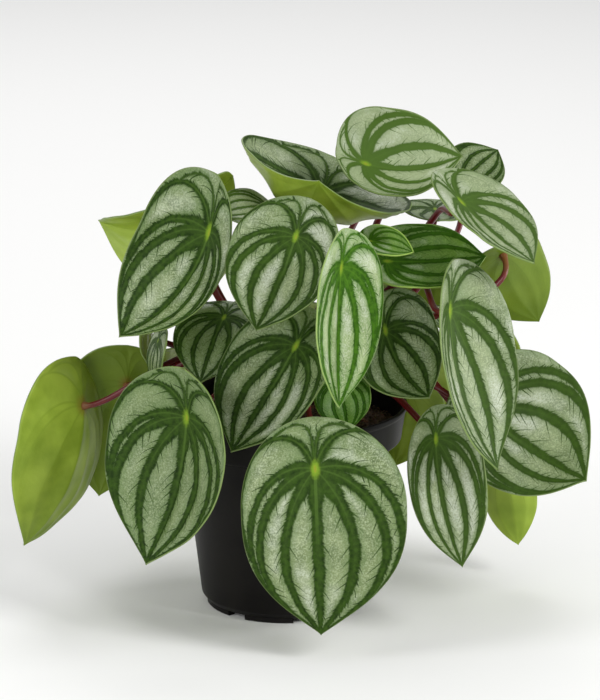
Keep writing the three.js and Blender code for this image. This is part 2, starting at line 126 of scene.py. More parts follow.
# %% Define the finish kit
class Finish:
    """A material whose shader network grows step by step."""

    def __init__(self, name, roughness=0.5):
        self.material = bpy.data.materials.new(name)
        self.material.use_nodes = True
        self.nodes = self.material.node_tree.nodes
        self.shader = self.nodes["Principled BSDF"]
        self.shader.inputs["Roughness"].default_value = roughness

    def node(self, kind, **settings):
        made = self.nodes.new(kind)
        for key, value in settings.items():
            setattr(made, key, value)
        return made

    def feed(self, socket, value):
        if isinstance(value, bpy.types.NodeSocket):
            self.material.node_tree.links.new(value, socket)
        else:
            socket.default_value = value

    def surface(self, **values):
        """Feeds the shader's sockets, each named in small letters with _ between its words."""
        sockets = {socket.name.lower().replace(" ", "_"): socket for socket in self.shader.inputs}
        for name, value in values.items():
            self.feed(sockets[name], value)

    def math(self, operation, *values):
        made = self.node("ShaderNodeMath", operation=operation)
        for socket, value in zip(made.inputs, values):
            self.feed(socket, value)
        return made.outputs[0]

    def times(self, first, second):
        return self.math("MULTIPLY", first, second)

    def minus(self, first, second):
        return self.math("SUBTRACT", first, second)

    def scaled(self, value, factor, shift):
        """The value times a factor, plus a shift."""
        return self.math("MULTIPLY_ADD", value, factor, shift)

    def step(self, value, low, high, start=0.0, end=1.0):
        """A smooth passage from start to end while the value goes from low to high."""
        made = self.node("ShaderNodeMapRange", interpolation_type="SMOOTHSTEP")
        for name, given in zip(("Value", "From Min", "From Max", "To Min", "To Max"),
                               (value, low, high, start, end)):
            self.feed(made.inputs[name], given)
        return made.outputs[0]

    def blend(self, share, first, second):
        """A number between two others."""
        made = self.node("ShaderNodeMix", data_type="FLOAT")
        for socket, value in zip((made.inputs[0], made.inputs[2], made.inputs[3]), (share, first, second)):
            self.feed(socket, value)
        return made.outputs[0]

    def mix(self, share, first, second):
        """A colour between two others."""
        made = self.node("ShaderNodeMix", data_type="RGBA")
        for socket, value in zip((made.inputs[0], made.inputs[6], made.inputs[7]), (share, first, second)):
            self.feed(socket, value)
        return made.outputs[2]

    def vector(self, x, y, z):
        made = self.node("ShaderNodeCombineXYZ")
        for socket, value in zip(made.inputs, (x, y, z)):
            self.feed(socket, value)
        return made.outputs[0]

    def split(self, name):
        """The three numbers of a vector attribute of the mesh."""
        attribute = self.node("ShaderNodeAttribute", attribute_name=name)
        made = self.node("ShaderNodeSeparateXYZ")
        self.feed(made.inputs[0], attribute.outputs["Vector"])
        return made.outputs

    def place(self):
        return self.node("ShaderNodeTexCoord").outputs["Object"]

    def noise(self, where, scale, detail=2.0, roughness=0.5):
        made = self.node("ShaderNodeTexNoise")
        self.feed(made.inputs["Vector"], where)
        self.feed(made.inputs["Scale"], scale)
        self.feed(made.inputs["Detail"], detail)
        self.feed(made.inputs["Roughness"], roughness)
        return made.outputs["Fac"]

    def bump(self, height, distance, strength=1.0):
        made = self.node("ShaderNodeBump")
        self.feed(made.inputs["Height"], height)
        self.feed(made.inputs["Distance"], distance)
        self.feed(made.inputs["Strength"], strength)
        self.feed(self.shader.inputs["Normal"], made.outputs[0])


def colour(red, green, blue):
    """A colour given as it looks on a screen, from 0 to 255, as the light that a shader works with."""
    shares = [part / 255 for part in (red, green, blue)]
    return (*[s / 12.92 if s < 0.04045 else ((s + 0.055) / 1.055) ** 2.4 for s in shares], 1.0)


# %% Define the mesh helpers
def mesh_from(bm, name, smooth=lambda face: False):
    """Turns a bmesh into a mesh, with smooth shading on the faces that the test picks."""
    for face in bm.faces:
        face.smooth = smooth(face)
    mesh = bpy.data.meshes.new(name)
    bm.to_mesh(mesh)
    bm.free()
    return mesh


def picked(items, kind):
    """The items of one kind, such as the new vertices among all that an operator made."""
    return [item for item in items if isinstance(item, kind)]


def open_edges(bm):
    """The edges with a face on one side only."""
    return [edge for edge in bm.edges if edge.is_boundary]


def finished(name, mesh, node=None, finishes=()):
    """Puts a mesh in the scene as a piece of the object, in place of a CAD node where one is named."""
    piece = bpy.data.objects.new(name, mesh)
    scene.collection.objects.link(piece)
    for finish in finishes:
        mesh.materials.append(finish)
    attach(piece, "root")
    if node:
        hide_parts(node)
    return piece


# %% Lay the floor
FLOOR_SIZE = 30.0

bm = bmesh.new()
bmesh.ops.create_grid(bm, x_segments=1, y_segments=1, size=FLOOR_SIZE / 2)
floor_mesh = mesh_from(bm, "floor")
floor = bpy.data.objects.new("floor", floor_mesh)
scene.collection.objects.link(floor)
floor_finish = Finish("floor", roughness=0.9)
floor_finish.surface(base_color=colour(248, 248, 247))
floor_mesh.materials.append(floor_finish.material)
print("Floor:", FLOOR_SIZE, "m")

# %% [markdown]
# ## The leaves: where they are
# Each blade is a shield on a stalk that meets it from below, some way in from its edge. A row of the table
# places one: its seat on the stalk, its tip, the way its upper side faces, its width, and how it is arched,
# cupped, folded, bowed and skewed. Via lists points that a stalk passes on its way. The same rule with the
# same numbers shaped the solids in the frame, so the finer blades fit over them.

# %% List the leaves
MOST_LOBE = 0.233
WIDEST_AT = 0.4
TIP_POWERS = (3, 1.2)

LEAVES = {
    "front_big": dict(seat=(0.014, -0.095, 0.096), tip=(0.017, -0.1, 0.015), faces=(-0.03, -0.99, 0.1),
        wide=0.079, arch=0.0043, cup=0.0034, skew=0.09),
    "front_left": dict(seat=(-0.047, -0.07, 0.114), tip=(-0.067, -0.084, 0.045), faces=(-0.55, -0.81, 0.2),
        wide=0.071, arch=-0.0068, cup=-0.0058, fold=9, bow=0.0009, skew=-0.11, lobe=0.26),
    "left_high": dict(seat=(-0.037, -0.022, 0.193), tip=(-0.08, -0.051, 0.149), faces=(-0.19, -0.89, 0.42),
        wide=0.051, arch=-0.0061, cup=-0.0054, fold=8, bow=0.0063, skew=-0.38, lobe=0.27),
    "centre_high": dict(seat=(0.005, -0.046, 0.197), tip=(-0.014, -0.07, 0.157), faces=(-0.42, -0.81, 0.4),
        wide=0.06, arch=-0.0026, cup=-0.0042, fold=8, lobe=0.28),
    "centre_low": dict(seat=(0.005, -0.05, 0.144), tip=(-0.026, -0.074, 0.098), faces=(-0.45, -0.73, 0.52),
        wide=0.06, arch=-0.0013, cup=-0.0042, fold=7, lobe=0.25),
    "centre_narrow": dict(seat=(0.026, -0.082, 0.191), tip=(0.025, -0.095, 0.126),
        faces=(0.78, -0.6, 0.18), wide=0.054, arch=-0.0005, cup=-0.0005, fold=18, bow=-0.0016, skew=-0.06,
        lobe=0.22, via=[(0.016, -0.014, 0.13), (0.028, -0.034, 0.16), (0.033, -0.062, 0.172)]),
    "top": dict(seat=(0.039, 0.005, 0.221), tip=(0.086, -0.003, 0.227), faces=(0, -0.79, 0.62), wide=0.052,
        arch=-0.0016, cup=-0.0092, fold=10, bow=-0.0043, skew=0.2,
        via=[(0.026, 0.036, 0.14), (0.048, 0.062, 0.184), (0.054, 0.046, 0.21)]),
    "top_boat": dict(seat=(0.017, 0.039, 0.197), tip=(0.016, -0.034, 0.222), faces=(0.38, 0.25, 0.89),
        wide=0.104, arch=-0.0176, cup=-0.0171, fold=11, lobe=0.22),
    "right_high": dict(seat=(0.084, -0.043, 0.213), tip=(0.118, -0.066, 0.189), faces=(0.67, -0.38, 0.64),
        wide=0.053, arch=-0.0019, cup=-0.0021, fold=5, skew=0.28, lobe=0.3,
        via=[(0.028, -0.004, 0.15), (0.064, 0.002, 0.184), (0.075, -0.012, 0.202)]),
    "right_narrow": dict(seat=(0.078, -0.063, 0.165), tip=(0.101, -0.084, 0.092),
        faces=(0.82, -0.51, 0.28), wide=0.057, arch=-0.0052, cup=-0.0092, fold=5, bow=-0.0029, skew=0.26,
        via=[(0.026, -0.006, 0.135), (0.062, -0.02, 0.172)]),
    "right_wide": dict(seat=(0.095, -0.025, 0.104), tip=(0.146, -0.045, 0.075), faces=(0.19, -0.9, 0.4),
        wide=0.07, arch=-0.0078, cup=-0.0035, skew=0.22),
    "right_low": dict(seat=(0.072, -0.061, 0.101), tip=(0.085, -0.076, 0.041), faces=(0.05, -0.98, 0.2),
        wide=0.039, arch=0.0005, cup=-0.0051, bow=-0.003, skew=0.22, lobe=0.2),
    "right_inner": dict(seat=(0.048, -0.041, 0.149), tip=(0.069, -0.06, 0.121), faces=(0.19, -0.86, 0.47),
        wide=0.047, arch=-0.0046, cup=-0.0061, bow=-0.0023, skew=0.08, lobe=0.31),
    "right_mid": dict(seat=(0.049, -0.03, 0.181), tip=(0.097, -0.024, 0.182), faces=(0.1, -0.73, 0.67),
        wide=0.04, arch=0.0013, cup=-0.0075, fold=2, bow=-0.0021, skew=-0.05, lobe=0.19,
        via=[(0.02, -0.004, 0.13), (0.042, -0.008, 0.165)]),
    "young": dict(seat=(0.041, -0.042, 0.194), tip=(0.061, -0.06, 0.193), faces=(0.21, -0.89, 0.4),
        wide=0.02, arch=-0.0005, cup=-0.0028, fold=22, bow=0.0006, skew=-0.09,
        via=[(0.018, -0.014, 0.14), (0.028, -0.028, 0.178)]),
    "front_small": dict(seat=(0.026, -0.05, 0.126), tip=(0.03, -0.058, 0.104), faces=(0, -0.9, 0.4),
        wide=0.028, arch=0.002, cup=-0.002),
    "left_inner": dict(seat=(-0.03, -0.019, 0.15), tip=(-0.041, -0.044, 0.124), faces=(-0.3, -0.8, 0.5),
        wide=0.042, arch=0.002, cup=-0.003),
    "left_edge": dict(seat=(-0.062, -0.021, 0.139), tip=(-0.064, -0.024, 0.115),
        faces=(-0.97, -0.24, 0.08), wide=0.033, arch=0.0015, cup=-0.0017, fold=-7),
    "left_top_inner": dict(seat=(-0.008, 0, 0.2), tip=(-0.033, -0.019, 0.201), faces=(-0.27, -0.59, 0.76),
        wide=0.028, arch=0.0024, cup=-0.0033, fold=-5, lobe=0.2),
    "far_left": dict(seat=(-0.1, 0, 0.1), tip=(-0.13, -0.01, 0.031), faces=(-0.73, 0.62, 0.29), wide=0.068,
        arch=-0.0076, cup=-0.005, fold=8, bow=-0.0039, skew=0.14),
    "left_back_low": dict(seat=(-0.08, 0.038, 0.1), tip=(-0.095, 0.043, 0.04), faces=(-0.28, 0.93, 0.22),
        wide=0.059, arch=0.0029, cup=0.0005, bow=-0.0032, skew=0.13, lobe=0.28),
    "left_back_high": dict(seat=(-0.047, 0.011, 0.194), tip=(-0.093, 0.034, 0.186),
        faces=(0.18, 0.93, 0.32), wide=0.053, arch=-0.0029, cup=0.0031, fold=-33, bow=-0.0051, skew=-0.07,
        lobe=0.34),
    "top_back": dict(seat=(0.046, 0.074, 0.193), tip=(0.018, 0.078, 0.198), faces=(-0.1, 0.8, 0.5),
        wide=0.03, arch=0.002, cup=-0.003),
    "top_under": dict(seat=(0.074, 0.04, 0.19), tip=(0.075, 0.004, 0.193), faces=(0.05, -0.15, 1), wide=0.036,
        arch=-0.002, cup=-0.004, via=[(0.034, 0.016, 0.13), (0.064, 0.032, 0.168)]),
    "right_top_back": dict(seat=(0.088, 0.07, 0.197), tip=(0.107, 0.085, 0.21), faces=(-0.1, -0.8, 0.6),
        wide=0.032, arch=0.0015, cup=-0.002, lobe=0.2,
        via=[(0.046, 0.026, 0.13), (0.074, 0.038, 0.162), (0.087, 0.062, 0.176)]),
    "right_back_low": dict(seat=(0.11, 0.018, 0.064), tip=(0.117, 0.028, 0.019), faces=(0.1, 0.97, 0.2),
        wide=0.034, arch=0.001, cup=-0.0073, fold=5, skew=0.17, lobe=0.2),
    "right_back_high": dict(seat=(0.107, 0.018, 0.172), tip=(0.126, 0.03, 0.135),
        faces=(-0.21, 0.93, 0.31), wide=0.045, arch=0.0036, cup=-0.0069, bow=0.0035, lobe=0.17),
    "pot_side_right": dict(seat=(0.062, 0.042, 0.095), tip=(0.055, 0.052, 0.053), faces=(0.3, 0.9, 0.2),
        wide=0.038, arch=0.003, cup=-0.003, rise=0.1),
    "back_top": dict(seat=(0.008, 0.062, 0.168), tip=(0.006, 0.098, 0.128), faces=(0, 0.8, 0.5), wide=0.054,
        arch=0.005, cup=-0.004),
    "back_left_top": dict(seat=(-0.04, 0.064, 0.16), tip=(-0.062, 0.09, 0.118), faces=(-0.4, 0.8, 0.45),
        wide=0.052, arch=0.005, cup=-0.004),
    "back_right_top": dict(seat=(0.062, 0.058, 0.16), tip=(0.066, 0.088, 0.118), faces=(0.3, 0.8, 0.45),
        wide=0.048, arch=0.005, cup=-0.004),
    "back_middle": dict(seat=(-0.006, 0.082, 0.124), tip=(-0.01, 0.106, 0.066), faces=(-0.05, 0.95, 0.3),
        wide=0.06, arch=0.006, cup=-0.005),
    "back_left": dict(seat=(-0.062, 0.076, 0.1), tip=(-0.072, 0.094, 0.042), faces=(-0.5, 0.8, 0.3),
        wide=0.058, arch=0.006, cup=-0.005),
    "back_right": dict(seat=(0.056, 0.08, 0.108), tip=(0.06, 0.104, 0.048), faces=(0.3, 0.9, 0.3),
        wide=0.058, arch=0.006, cup=-0.005),
    "back_high": dict(seat=(-0.01, 0.05, 0.182), tip=(-0.016, 0.09, 0.168), faces=(0, 0.3, 1), wide=0.05,
        arch=0.004, cup=-0.004),
    "right_back": dict(seat=(0.088, 0.052, 0.13), tip=(0.104, 0.068, 0.084), faces=(0.6, 0.7, 0.3),
        wide=0.05, arch=0.005, cup=-0.004),
    "right_side": dict(seat=(0.08, 0.01, 0.134), tip=(0.094, 0.014, 0.09), faces=(0.92, 0.1, 0.38),
        wide=0.048, arch=0.005, cup=-0.004),
    "left_side": dict(seat=(-0.06, 0.02, 0.154), tip=(-0.066, 0.022, 0.112), faces=(-0.97, 0.12, 0.2),
        wide=0.042, arch=0.004, cup=-0.003),
}
print("Leaves:", len(LEAVES))


# %% Define a blade's middle surface
def outline(along):
    """Half the blade's width, as a share of the greatest, at shares of its length from the base."""
    rounded = np.sqrt(np.clip(1 - ((WIDEST_AT - along) / WIDEST_AT) ** 2, 0, 1))
    past = np.clip((along - WIDEST_AT) / (1 - WIDEST_AT), 0, 1)
    pointed = (1 - past ** TIP_POWERS[0]) ** TIP_POWERS[1]
    return np.where(along < WIDEST_AT, rounded, pointed)


def leaf_frame(leaf):
    """The leaf's seat, its directions to the tip, out of the upper side and sideways, and its chord."""
    seat = np.array(leaf["seat"])
    forward = np.array(leaf["tip"]) - seat
    chord = np.linalg.norm(forward)
    forward = forward / chord
    up = np.array(leaf["faces"], dtype=float)
    up = up - up.dot(forward) * forward
    up = up / np.linalg.norm(up)
    return seat, forward, up, np.cross(up, forward), chord


def blade_points(leaf, along, across):
    """Points of the blade's middle surface, along from 0 at the base to 1 and across from -1 to 1."""
    seat, forward, up, side, chord = leaf_frame(leaf)
    arch = leaf["arch"]
    radius = (chord ** 2 / 4 + arch ** 2) / (2 * arch)
    half = math.asin(chord / 2 / radius)
    lobe = leaf.get("lobe", MOST_LOBE)
    share = (along - lobe) / (1 - lobe)
    angle = (half * (2 * share - 1))[:, None]
    sway = (4 * leaf.get("bow", 0) * share * (1 - share))[:, None]
    lifted = np.cos(angle) * up + np.sin(angle) * forward
    spine = seat + (chord / 2 + radius * np.sin(angle)) * forward
    spine = spine + radius * (np.cos(angle) - math.cos(half)) * up + sway * side
    way = np.sign(across)
    distance = np.abs(across) * leaf["wide"] / 2 * (1 + leaf.get("skew", 0) * way) * outline(along)
    bend = 2 * leaf["cup"] / (leaf["wide"] / 2) ** 2
    reach = np.sin(bend * distance) / bend
    drop = (1 - np.cos(bend * distance)) / bend
    fold = math.radians(leaf.get("fold", 0))
    sideways = (way * (reach * math.cos(fold) + drop * math.sin(fold)))[:, None]
    upwards = (reach * math.sin(fold) - drop * math.cos(fold))[:, None]
    return spine + sideways * side + upwards * lifted


def blade_normals(leaf, along, across):
    """The directions out of the blade's upper side, from points a little to each side."""
    small = 0.01
    inner = np.clip(along, 2 * small, 1 - 2 * small)
    middle = np.clip(across, -0.9, 0.9)
    lengthways = blade_points(leaf, inner + small, middle) - blade_points(leaf, inner - small, middle)
    sideways = blade_points(leaf, inner, middle + small) - blade_points(leaf, inner, middle - small)
    normals = np.cross(lengthways, sideways)
    return normals / np.linalg.norm(normals, axis=1)[:, None]


# %% [markdown]
# ## The leaves: how their veins run
# Eleven veins leave the seat like the meridians of a globe. The middle one runs straight to the tip, two or
# three pairs bow outwards and come back to it, and the rest turn back into the rounded upper lobe. Each bow
# follows one rule: the angle at the seat, plus a share of the angle at the tip, stays the same all along it.
#
# The rule is written for a flat blade whose seat is (0, 0), whose tip is (1, 0) and whose width is 1. It
# also gives how far any point is from a vein, so nothing has to be drawn in advance.

# %% Measure the veins
VEIN_ANGLES = [math.radians(angle) for angle in (43, 82, 106, 162, 178)]
VEIN_PULLS = (0.95, 1.2, 1.55, 2.85, 4.2)
LOBE_REACH = MOST_LOBE / (1 - MOST_LOBE)
OPEN_FIELD = 0.12
PLUMP_POWERS = (2.5, 0.85)
print("Veins on a blade:", 2 * len(VEIN_ANGLES) + 1)


def plump(along):
    """Half the width of the flat blade that carries the veins: without the drawn-out tip."""
    past = np.clip((along - WIDEST_AT) / (1 - WIDEST_AT), 0, 1)
    pointed = (1 - past ** PLUMP_POWERS[0]) ** PLUMP_POWERS[1]
    return np.where(along < WIDEST_AT, outline(along), pointed) / 2


def vein_fields(x, y, turns):
    """How far points are from the vein before them and from the next one, as two arrays."""
    reach = np.maximum(np.hypot(x, y), 1e-4)
    left = np.hypot(1 - x, y)
    at_seat = np.arctan2(y, x)
    at_tip = np.arctan2(y, 1 - x)
    outside = np.where(x > 0, y, reach)
    before = outside.copy()
    after = np.full(x.shape, OPEN_FIELD)
    for angle, pull, turn in zip(VEIN_ANGLES, VEIN_PULLS, turns):
        spread = left ** 2 + (pull * reach) ** 2 + 2 * pull * reach * left * np.cos(at_seat + at_tip)
        past = (at_seat + pull * at_tip - angle - turn) * reach * left / np.sqrt(spread + 1e-9)
        outside = np.minimum(outside, past)
        before = np.where(outside > 0, np.minimum(before, outside), before)
        after = np.where(outside <= 0, np.minimum(after, -outside), after)
    return before, after


def distance_to(line, x, y):
    """How far each point lies from a line of straight stretches."""
    best = np.full(x.shape, 9.0)
    for (ax, ay), (bx, by) in zip(line[:-1], line[1:]):
        dx, dy = bx - ax, by - ay
        share = np.clip(((x - ax) * dx + (y - ay) * dy) / (dx * dx + dy * dy + 1e-12), 0, 1)
        best = np.minimum(best, np.hypot(x - ax - share * dx, y - ay - share * dy))
    return best


# %% [markdown]
# ## The leaves: their meshes
# A grid with a column along the midrib is bent onto the blade's surface. Its end rows shrink to points at the
# base and the tip, and merging those points closes it. The fields between the veins swell a little and
# the veins lie in shallow furrows, which gives the quilted look. Solidify then gives the blade its thickness
# and a rim, with one finish for the upper side, one for the underside and one for the edge.
#
# A picture of the pattern would blur up close. The mesh carries each point's place on the flat blade instead,
# and the shader measures the veins from it, so the bands stay crisp at any distance.

# %% Raise the fields between the veins
SWELL = 0.012
FIELD_WIDTH = 0.2
RIM_FADE = 0.004
SEAT_FADE = 0.12
WAVE = 0.010
WAVE_SCALE = 5
WAVE_SHIFT = 7.3
WAVE_FADE = 0.2
DIMPLE = 0.0003
DIMPLE_RADIUS = 0.045


def quilting(x, y, turn, rim, wide, seed):
    """How far each point is raised: swollen fields, a dimple at the seat and a slow wave."""
    before, after = vein_fields(x, np.abs(y), [*turn.T, turn[:, 2], 0.0])
    reach = np.hypot(x, y)
    field = np.sin(np.pi * before / (before + after + 1e-6))
    field = field * np.clip((before + after) / FIELD_WIDTH, 0.3, 1.2)
    fade = np.clip(rim / RIM_FADE, 0, 1) * np.clip(reach / SEAT_FADE, 0, 1)
    lift = SWELL * wide * field * fade - DIMPLE * np.exp(-(reach / DIMPLE_RADIUS) ** 2)
    shift = seed * WAVE_SHIFT
    spots = [Vector((px * WAVE_SCALE + shift, py * WAVE_SCALE, 0)) for px, py in zip(x, y)]
    wave = np.array([noise.noise(spot) for spot in spots])
    return lift + WAVE * wide * wave * np.clip(reach / WAVE_FADE, 0, 1)


# %% Build the blades
BLADE_THICKNESS = 0.0008
CELL = 0.0014
FEWEST_CELLS = 16
LENGTH_TO_CHORD = 1.3
RIM_POINTS = 90
VEIN_SWERVE = 4


def rim_distance(along, across, lobe, chord, wide):
    """How far each point lies from the edge of the flattened blade, in metres."""
    length = chord / (1 - lobe)
    ring = np.linspace(0, 1, RIM_POINTS)
    margin = np.stack([(ring - lobe) * length, outline(ring) * wide / 2], axis=1)
    return distance_to(margin, (along - lobe) * length, np.abs(across) * outline(along) * wide / 2)


def blade_mesh(name, leaf, seed, tone=None):
    """The fine mesh of one blade, with the attributes that its finishes read."""
    wide = leaf["wide"]
    chord = leaf_frame(leaf)[4]
    columns = 2 * max(FEWEST_CELLS // 2, round(wide / CELL / 2))
    rows = max(FEWEST_CELLS, round(chord * LENGTH_TO_CHORD / CELL))
    bm = bmesh.new()
    bmesh.ops.create_grid(bm, x_segments=columns, y_segments=rows, size=1.0)
    grid = np.array([vert.co for vert in bm.verts])
    across = grid[:, 0]
    along = 0.5 - 0.5 * np.cos(math.pi * (grid[:, 1] + 1) / 2)
    lobe = leaf.get("lobe", MOST_LOBE)
    x = np.where(along > lobe, (along - lobe) / (1 - lobe), (along - lobe) / lobe * LOBE_REACH)
    y = across * plump(along)
    draw = random.Random(seed)
    drawn = draw.random()
    tone = drawn if tone is None else tone
    turns = [[math.radians(draw.uniform(-VEIN_SWERVE, VEIN_SWERVE)) for _ in range(3)] for _ in range(2)]
    turn = np.where(across[:, None] < 0, turns[0], turns[1])
    rim = rim_distance(along, across, lobe, chord, wide)
    lift = quilting(x, y, turn, rim, wide, seed)
    points = blade_points(leaf, along, across) + lift[:, None] * blade_normals(leaf, along, across)
    flat_layer = bm.verts.layers.float_vector.new("flat")
    turn_layer = bm.verts.layers.float_vector.new("turn")
    tone_layer = bm.verts.layers.float.new("tone")
    for i, vert in enumerate(bm.verts):
        vert.co = points[i]
        vert[flat_layer] = (x[i], y[i], rim[i])
        vert[turn_layer] = turn[i]
        vert[tone_layer] = tone
    bmesh.ops.remove_doubles(bm, verts=bm.verts, dist=1e-6)
    bmesh.ops.reverse_faces(bm, faces=bm.faces)
    return mesh_from(bm, name, lambda face: True)


# %% [markdown]
# ## The leaves: the vein pattern as shader nodes
# The same rule is wired up once more, with nodes for numbers. Along the way it keeps the nearest vein: how
# far it is, its number from the midrib, and whether the point is on its outer side. How far along a vein a
# point is comes from its distances to the seat and to the tip. The lane is a number of its own for every
# vein, side and tone, so that no two veins fray alike.

# %% Wire up the veins
SPOT_WIDTH = 0.5
LANE_PER_SIDE = 17.0
LANE_PER_TONE = 97.0


class Veins:
    """The sockets that tell a finish where a point of the blade is among the veins."""

    def __init__(self, f):
        x, y, self.rim = f.split("flat")
        turns = [*f.split("turn")]
        turns += [turns[2], 0.0]
        self.tone = f.node("ShaderNodeAttribute", attribute_name="tone").outputs["Fac"]
        side = f.math("GREATER_THAN", y, 0.0)
        y = f.math("ABSOLUTE", y)
        to_tip = f.minus(1.0, x)
        at_seat = f.math("ARCTAN2", y, x)
        at_tip = f.math("ARCTAN2", y, to_tip)
        reach2 = f.scaled(x, x, f.times(y, y))
        left2 = f.scaled(to_tip, to_tip, f.times(y, y))
        self.reach = f.math("MAXIMUM", f.math("SQRT", reach2), 0.0001)
        along = f.times(x, SPOT_WIDTH)
        self.spot = f.math("SQRT", f.scaled(along, along, f.times(y, y)))
        left = f.math("SQRT", left2)
        both = f.times(self.reach, left)
        cosine = f.math("COSINE", f.math("ADD", at_seat, at_tip))
        twice = f.times(f.times(both, cosine), 2.0)
        ahead = f.math("GREATER_THAN", x, 0.0)
        outside = f.blend(ahead, self.reach, y)
        self.away, self.number, self.outward = outside, 0.0, 1.0
        for count, (angle, pull, turn) in enumerate(zip(VEIN_ANGLES, VEIN_PULLS, turns), 1):
            spread = f.scaled(reach2, pull ** 2, f.scaled(twice, pull, left2))
            scale = f.math("DIVIDE", both, f.math("SQRT", f.math("MAXIMUM", spread, 1e-6)))
            past = f.minus(f.scaled(at_tip, pull, at_seat), angle)
            past = f.times(f.minus(past, turn), scale)
            outside = f.math("MINIMUM", outside, past)
            distance = f.math("ABSOLUTE", outside)
            closer = f.math("LESS_THAN", distance, self.away)
            self.number = f.blend(closer, self.number, float(count))
            self.outward = f.blend(closer, self.outward, f.math("GREATER_THAN", outside, 0.0))
            self.away = f.math("MINIMUM", distance, self.away)
        flow = f.math("DIVIDE", self.reach, f.math("ADD", self.reach, left))
        self.run = f.times(flow, f.scaled(self.number, 0.25, 1.0))
        lane = f.scaled(self.number, 2.0, self.outward)
        self.lane = f.scaled(side, LANE_PER_SIDE, f.scaled(self.tone, LANE_PER_TONE, lane))


# %% [markdown]
# ## The leaves: the upper side
# The silver fields are pockets of air under the skin, so they look grainy and catch the light, here partly
# through patches of painted sheen, while the bands along the veins are plain green. The bands are widest at
# the seat, where they run together in a star, and their edges are frayed outwards by fine side veins. Short
# dark side veins leave the bands at a slant, and near the edge they cross the silver like the rungs of a
# ladder.
#
# Every length below is measured on the flat blade, except distances from the rim, which are in metres. The
# noises that read the object's own coordinates have their scales per metre.

# %% Fray the bands
BAND = 0.040
BAND_NARROWING = -0.031
RUFFLE_SCALE = 9.0
HAIR_SCALE = 115.0
FRAY_INSIDE = 0.022
FRAY_MORE_OUTSIDE = 0.020
SLANT = 0.75


def frayed_band(f, v):
    """How dark the band is, and how far the point lies beyond the band's frayed edge."""
    coarse = f.noise(f.vector(f.times(v.run, RUFFLE_SCALE), v.lane, 0.0), 1.0, 2.0)
    slant = f.times(v.away, SLANT)
    hairs = f.vector(f.times(f.minus(v.run, slant), HAIR_SCALE), v.lane, 0.0)
    fine = f.noise(hairs, 1.0, 3.0, 0.75)
    narrowing = f.scaled(f.times(v.number, v.number), BAND_NARROWING, 1.0)
    half = f.times(narrowing, f.step(v.reach, 0.32, 0.03, 1.0, 1.65))
    half = f.times(half, f.step(v.reach, 0.5, 1.0, 1.0, 0.65))
    half = f.times(half, f.scaled(coarse, 0.9, 0.42))
    fray = f.times(f.minus(fine, 0.5), f.scaled(v.outward, FRAY_MORE_OUTSIDE, FRAY_INSIDE))
    beyond = f.minus(v.away, f.scaled(half, BAND, fray))
    softness = f.step(v.reach, 0.3, 0.05, 0.006, 0.02)
    return f.step(beyond, softness, -0.006), beyond


# %% Define the veinlets and the rungs
VEINLET_STEP = 0.074
VEINLET_WIDTH = 0.0048
VEINLET_SHORTEST = 0.018
VEINLET_SPREAD = 0.095
VEINLET_CURL = 8.0
VEINLETS_MISSING = 0.35
RUNG_STEP = 0.036
RUNG_WIDTH = 0.0034
RUNG_WOBBLE = 0.02


def veinlets(f, v, beyond):
    """Single side veins that leave the bands at a slant and fade out in the silver."""
    slant = f.times(v.away, f.scaled(v.away, VEINLET_CURL, SLANT))
    slots = f.math("DIVIDE", f.minus(v.run, slant), VEINLET_STEP)
    cell = f.node("ShaderNodeTexWhiteNoise", noise_dimensions="2D")
    f.feed(cell.inputs["Vector"], f.vector(f.math("FLOOR", slots), v.lane, 0.0))
    luck = f.node("ShaderNodeSeparateXYZ")
    f.feed(luck.inputs[0], cell.outputs["Color"])
    place, length, chance = luck.outputs
    line = f.minus(f.math("FRACT", slots), f.scaled(place, 0.6, 0.2))
    line = f.times(f.math("ABSOLUTE", line), VEINLET_STEP * 0.7)
    share = f.math("DIVIDE", beyond, f.scaled(length, VEINLET_SPREAD, VEINLET_SHORTEST))
    width = f.step(share, -0.2, 1.0, VEINLET_WIDTH, 0.0)
    ink = f.step(f.minus(line, width), 0.001, -0.001)
    ink = f.times(ink, f.math("GREATER_THAN", chance, VEINLETS_MISSING))
    return f.times(ink, f.step(share, 1.0, 0.6))


def rungs(f, v):
    """Thin cross veins in the outer fields."""
    wobble = f.scaled(f.noise(f.place(), 260.0), RUNG_WOBBLE, f.times(v.away, 0.5))
    slots = f.math("DIVIDE", f.math("ADD", v.run, wobble), RUNG_STEP)
    line = f.math("ABSOLUTE", f.minus(f.math("FRACT", slots), 0.5))
    ink = f.step(f.times(line, RUNG_STEP), RUNG_WIDTH, 0.0005)
    ink = f.times(ink, f.math("GREATER_THAN", f.math("ADD", v.number, v.outward), 2.5))
    ink = f.times(ink, f.math("LESS_THAN", v.number, 3.5))
    ink = f.times(ink, f.step(v.reach, 0.25, 0.4, 0.0, 0.75))
    return f.times(ink, f.step(f.noise(f.place(), 120.0), 0.38, 0.55))


# %% Define the upper finish
GRAIN_SCALE = 1250.0
PATCH_SCALE = 90.0
PAINTED_SHEEN_SCALE = 34.0
MOTTLE_SCALE = 420.0
PAINTED_SHEEN = colour(206, 212, 196)
LIME_SPOT = colour(122, 154, 40)
TAN_SPOT = colour(150, 140, 50)


